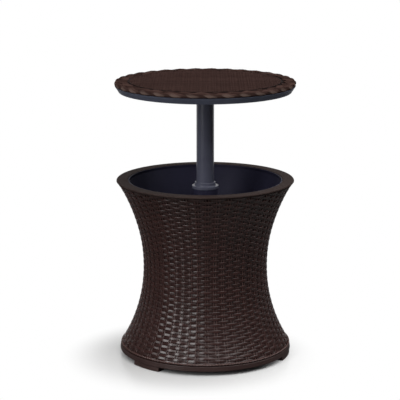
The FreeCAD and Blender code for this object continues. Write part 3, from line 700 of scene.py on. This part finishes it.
def weaveField(material):
    skin = Skin()
    rows = int(field["radius"] / field["pitch"])
    level = field["top"] - field["thick"] - field["swing"]
    lift, liftSwing = field["lift"]
    for row in range(-rows, rows + 1):
        y = row * field["pitch"]
        reach = math.sqrt(field["radius"] ** 2 - y ** 2)
        x = np.linspace(-reach, reach, max(int(2 * reach / field["step"]), 4) + 1)
        wave = crossing(x * math.pi / field["pairPitch"], field["snap"]) * (-1) ** row
        middle = np.stack([x, np.full_like(x, y), level + field["swing"] * wave], -1)
        side = np.tile((0.0, 1.0, 0.0), (len(x), 1))
        out = np.tile((0.0, 0.0, 1.0), (len(x), 1))
        skin.strand(middle, side, out, rowWidth(field["pitch"], wave), field["thick"], flatSection,
                    draws.random(), lift + liftSwing * wave)
    pairs = int(field["radius"] / field["pairPitch"])
    height = field["top"] - field["stakeDepth"] - field["stake"]
    side = np.tile((1.0, 0.0, 0.0), (3, 1))
    out = np.tile((0.0, 0.0, 1.0), (3, 1))
    for pair in range(-pairs, pairs + 1):
        for aside in (-field["pairGap"], field["pairGap"]):
            x = pair * field["pairPitch"] + aside
            if abs(x) > field["radius"]:
                continue
            reach = math.sqrt(field["radius"] ** 2 - x ** 2)
            middle = np.array([(x, y, height) for y in (-reach, 0, reach)])
            skin.strand(middle, side, out, field["stake"], field["stake"], rounded(8),
                        draws.random(), field["stakeLift"])
    skin.build("table_field", "table", "woven_brown", material, "table_top")


# Board under the field, and the cord between the field and the border, both coloured dark as painted
# shade under the strands and in the groove
board = {
    "radii": (0.002, 0.2400),
    "heights": (0.7607, 0.7625),
    "sides": 160,
    "tone": 0.3,
    "rise": 0.1,
    "finish": {
        "deep": (0.012, 0.006, 0.0055),
        "base": (0.018, 0.009, 0.008),
        "worn": (0.020, 0.011, 0.010),
        "roughness": 0.7,
        "gloss": 0.05,
    },
}
cord = {
    "radius": 0.2072,
    "height": 0.7634,
    "steps": 240,
    "wide": 0.0016,  # half of its width and thickness
    "thick": 0.0011,
    "tone": 0.2,
    "lift": 0.2,
}


def boardField(material):
    skin = Skin()
    inner, outer = board["radii"]
    low, high = board["heights"]
    outline = [(inner, high), (inner, low), (outer, low), (outer, high)]
    skin.turn(outline, board["sides"], board["tone"], board["rise"])
    skin.build("table_core", "table", "woven_brown", material, "table_top")


def cordField(material):
    skin = Skin()
    turns = circle(cord["steps"])
    spoke = np.stack([np.cos(turns), np.sin(turns), np.zeros_like(turns)], -1)
    middle = spoke * cord["radius"] + np.array([0, 0, cord["height"]])
    out = np.tile((0.0, 0.0, 1.0), (len(turns), 1))
    skin.strand(middle, spoke, out, cord["wide"], cord["thick"], rounded(8),
                cord["tone"], cord["lift"], True)
    skin.build("field_cord", "table", "woven_brown", material, "table_top")


topWicker = wickerFinish("top_wicker", **field["finish"])
plaitBorder(wickerFinish("border_wicker", **plait["finish"]))
weaveField(topWicker)
topShadow = wickerFinish("top_shadow", **board["finish"])
boardField(topShadow)
cordField(topShadow)

# Smooth mouldings, which keep their own shapes and get their finishes
moulded = {
    "grain": 900,
    "grainBump": (0.00008, 0.4),
    "clouds": 9.0,
    "scuffs": (60, 60, 500),  # drawn out level
    "ragged": 0.12,  # share of the scuffs in where an edge is worn
    "worn": (0.53, 0.66),  # sharpness of an edge where wear starts, and where it is full
    "wearShare": 0.5,
    "wearLight": (1.8, 0.01),  # how much lighter a worn edge is: times, and plus
    "cloudShare": 0.7,  # in the shade, and the rest is scuffs
    "shade": (0.35, 0.65),
    "rough": (0.16, 0.1),  # share of the clouds and of the grain in the roughness
}
drawn = {
    "lines": (900, 900, 1.5),  # lengthwise die lines
    "lineBump": (0.00005, 0.4),
    "clouds": 12.0,
    "rough": 0.14,
}
zinc = {
    "clouds": 160.0,
    "dark": (0.42, 0.42, 0.43),
    "light": (0.62, 0.62, 0.62),
    "bump": (0.00005, 0.4),
    "roughness": (0.28, 0.2),  # least, and what the clouds add
}


def mouldedFinish(name, colour, light, roughness, gloss, grain=moulded["grain"]):
    paint = Paint(name)
    place = paint.place()
    fine = paint.noise(place, grain, detail=3.0)
    cloud = paint.noise(place, moulded["clouds"], detail=4.0)
    scuffs = paint.noise(paint.stretched(place, moulded["scuffs"]), 1.0)
    sharpness = paint.node("NewGeometry", out="Pointiness")
    wear = paint.between(sharpness + (scuffs - 0.5) * moulded["ragged"], *moulded["worn"])
    mottle = cloud * moulded["cloudShare"] + scuffs * (1 - moulded["cloudShare"])
    shade = paint.blend(paint.between(mottle, *moulded["shade"]), colour, light)
    times, plus = moulded["wearLight"]
    worn = tuple(min(value * times + plus, 1) for value in light)
    cloudRough, fineRough = moulded["rough"]
    return paint.finish(
        Base_Color=paint.blend(wear * moulded["wearShare"], shade, worn),
        Roughness=roughness + cloudRough * (cloud - 0.5) + fineRough * (fine - 0.5),
        Specular_IOR_Level=gloss,
        Normal=paint.bump(fine, *moulded["grainBump"]),
    )


def drawnFinish(name, colour, light, roughness, gloss):
    paint = Paint(name)
    place = paint.place()
    lines = paint.noise(paint.stretched(place, drawn["lines"]), 1.0)
    cloud = paint.noise(place, drawn["clouds"])
    return paint.finish(
        Base_Color=paint.blend(lines * 0.5 + cloud * 0.5, colour, light),
        Roughness=roughness + drawn["rough"] * (lines - 0.5) + drawn["rough"] * (cloud - 0.5),
        Specular_IOR_Level=gloss,
        Normal=paint.bump(lines, *drawn["lineBump"]),
    )


def zincFinish():
    paint = Paint("zinc_steel")
    cloud = paint.noise(paint.place(), zinc["clouds"], detail=3.0)
    least, more = zinc["roughness"]
    return paint.finish(
        Metallic=1.0,
        Base_Color=paint.blend(cloud, zinc["dark"], zinc["light"]),
        Roughness=least + more * cloud,
        Normal=paint.bump(cloud, *zinc["bump"]),
    )


coats = {  # colour, lighter colour, roughness, gloss, and the grain where it is coarser
    "band_brown": (mouldedFinish, (0.032, 0.0215, 0.0195), (0.044, 0.030, 0.027), 0.6, 0.02),
    "liner_navy": (mouldedFinish, (0.017, 0.0165, 0.034), (0.024, 0.023, 0.046), 0.5, 0.12),
    "post_graphite": (drawnFinish, (0.084, 0.087, 0.122), (0.112, 0.116, 0.162), 0.3, 0.5),
    "underside_graphite": (mouldedFinish, (0.072, 0.079, 0.112), (0.100, 0.110, 0.154), 0.45, 0.25),
    "base_brown": (mouldedFinish, (0.040, 0.021, 0.019), (0.058, 0.033, 0.030), 0.42, 0.4),
    "guide_black": (mouldedFinish, (0.010, 0.010, 0.011), (0.017, 0.017, 0.018), 0.45, 0.35),
    "seal_rubber": (mouldedFinish, (0.008, 0.008, 0.008), (0.014, 0.014, 0.014), 0.75, 0.2, 500),
}
finishes = {name: make(name, *values) for name, (make, *values) in coats.items()}
finishes["steel_fastener"] = zincFinish()
for part in frame["record"]["subparts"]:
    if part["material_slot"] in finishes:
        for slot in nodes[part["node"]].material_slots:
            slot.material = finishes[part["material_slot"]]
print("finishes are on the mouldings")

bpy.context.view_layer.update()
